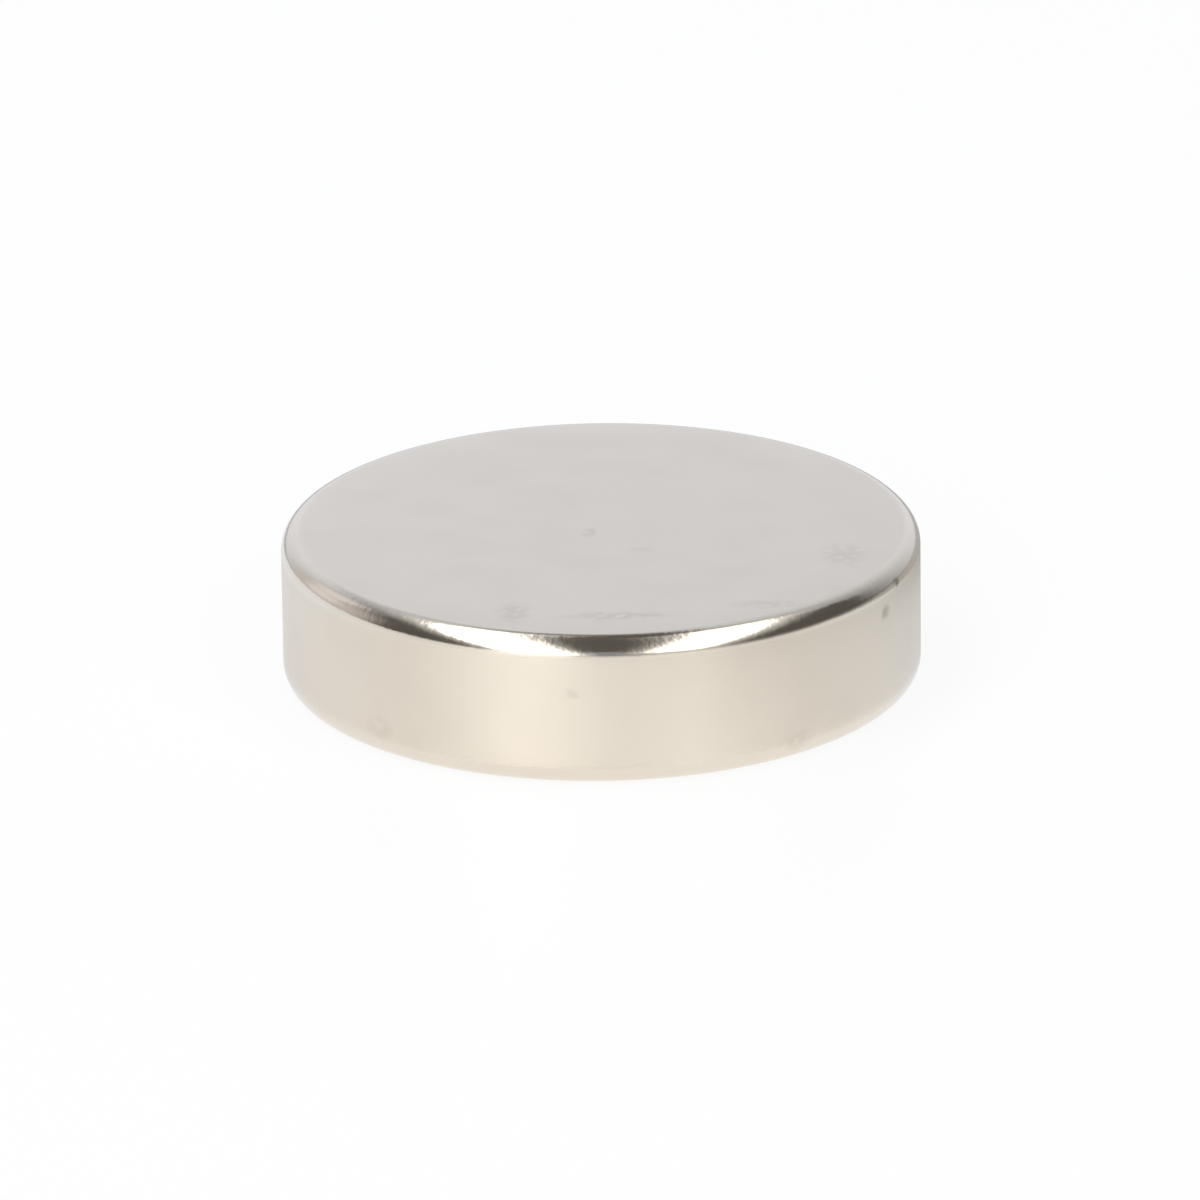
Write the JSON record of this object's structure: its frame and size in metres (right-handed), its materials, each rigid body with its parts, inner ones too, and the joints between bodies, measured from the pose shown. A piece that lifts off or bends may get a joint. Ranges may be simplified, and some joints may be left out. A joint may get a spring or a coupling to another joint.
{
  "type": "disc magnet",
  "caption": "Plain round disc magnet with rounded edges and bright plating, for holding notes, latches and small steel parts on a bench or board.",
  "frame": {"origin": "centre of the lower flat face, which the magnet rests on", "axes": "+Z along the disc's axis, out of the upper face; X and Y lie in the lower face, and any direction across the disc is alike"},
  "size_m": [0.025, 0.025, 0.006],
  "materials": {
    "bright_nickel": "bright nickel plating over a ground sintered body, slightly warm, with fine orange peel on the rounded edges"
  },
  "bodies": {
    "root": {"disc_magnet": "bright_nickel"}
  },
  "joints": []
}
